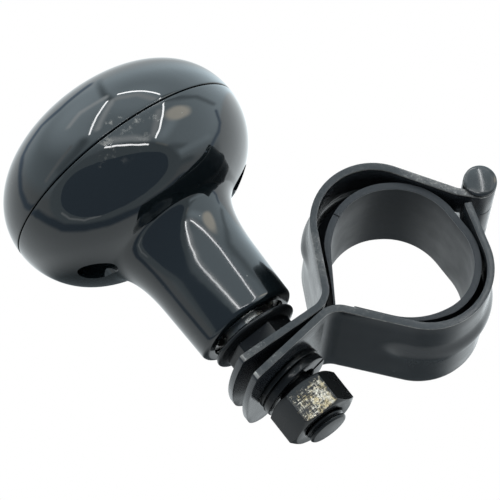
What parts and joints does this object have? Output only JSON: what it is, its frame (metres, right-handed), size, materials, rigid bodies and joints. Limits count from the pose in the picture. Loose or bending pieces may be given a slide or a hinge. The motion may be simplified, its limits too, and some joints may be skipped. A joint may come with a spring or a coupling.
{
  "type": "steering wheel spinner knob",
  "caption": "Steering wheel spinner knob: round knob turning on a bolt that closes a hinged, rubber-lined strap clamp round the wheel rim.",
  "frame": {"origin": "centre of the clamp's bore, where the steering wheel's rim passes through, midway across the straps", "axes": "+X from the spindle bolt to the clamp's hinge, +Y along the wheel's rim away from the head of the hinge pin, +Z along the spindle bolt up to the knob's dome"},
  "size_m": [0.0963, 0.0628, 0.1034],
  "materials": {
    "knob_plastic": "high gloss black",
    "black_steel": "satin black coating, edges rubbed",
    "worn_steel": "satin black, one flat worn to bright metal",
    "bright_steel": "machined",
    "cage_brass": "pressed",
    "liner_rubber": "smooth satin"
  },
  "bodies": {
    "clamp": {"upper_strap": "black_steel", "hinge_pin": "black_steel", "rim_liner": "liner_rubber", "flange_nut": "black_steel", "spindle_bolt": "black_steel", "lower_spacer": "bright_steel", "spacer_sleeve": "bright_steel", "head_washer": "bright_steel", "upper_bearing_inner_ring": "bright_steel", "lower_bearing_inner_ring": "bright_steel"},
    "knob": {"knob_cap": "knob_plastic", "knob_body": "knob_plastic", "cap_screw_1": "bright_steel", "cap_screw_2": "bright_steel", "upper_bearing_outer_ring": "bright_steel", "lower_bearing_outer_ring": "bright_steel"},
    "upper_balls": {"upper_bearing_cage": "cage_brass", "upper_bearing_ball_1": "bright_steel", "upper_bearing_ball_2": "bright_steel", "upper_bearing_ball_3": "bright_steel", "upper_bearing_ball_4": "bright_steel", "upper_bearing_ball_5": "bright_steel", "upper_bearing_ball_6": "bright_steel", "upper_bearing_ball_7": "bright_steel", "upper_bearing_ball_8": "bright_steel"},
    "lower_balls": {"lower_bearing_cage": "cage_brass", "lower_bearing_ball_1": "bright_steel", "lower_bearing_ball_2": "bright_steel", "lower_bearing_ball_3": "bright_steel", "lower_bearing_ball_4": "bright_steel", "lower_bearing_ball_5": "bright_steel", "lower_bearing_ball_6": "bright_steel", "lower_bearing_ball_7": "bright_steel", "lower_bearing_ball_8": "bright_steel"},
    "lower_jaw": {"lower_strap": "black_steel"},
    "washers": {"plain_washer": "black_steel", "spring_washer": "black_steel"},
    "nut": {"clamp_nut": "worn_steel"}
  },
  "joints": [
    {"name": "knob_spin", "type": "hinge", "parent": "clamp", "child": "knob", "pos_m": [-0.035, 0, 0.035], "axis": [0, 0, 1], "continuous": true},
    {"name": "upper_balls_roll", "type": "hinge", "parent": "clamp", "child": "upper_balls", "pos_m": [-0.035, 0, 0.039], "axis": [0, 0, 1], "continuous": true},
    {"name": "lower_balls_roll", "type": "hinge", "parent": "clamp", "child": "lower_balls", "pos_m": [-0.035, 0, 0.0148], "axis": [0, 0, 1], "continuous": true},
    {"name": "jaw_hinge", "type": "hinge", "parent": "clamp", "child": "lower_jaw", "pos_m": [0.02587, 0, 0.00372], "axis": [0, -1, 0], "range_deg": [0, 4.8]},
    {"name": "washer_slide", "type": "slide", "parent": "clamp", "child": "washers", "axis": [0, 0, -1], "range_m": [0, 0.006]},
    {"name": "nut_turn", "type": "hinge", "parent": "washers", "child": "nut", "pos_m": [-0.035, 0, -0.01355], "axis": [0, 0, -1], "range_deg": [0, 1440]}
  ],
  "couplings": [
    {"joint": "upper_balls_roll", "follows": "knob_spin", "ratio": 0.5743},
    {"joint": "lower_balls_roll", "follows": "knob_spin", "ratio": 0.5743},
    {"joint": "nut_turn", "follows": "washer_slide", "rad_per_m": 4188.8},
    {"joint": "jaw_hinge", "follows": "washer_slide", "rad_per_m": 13.96}
  ]
}
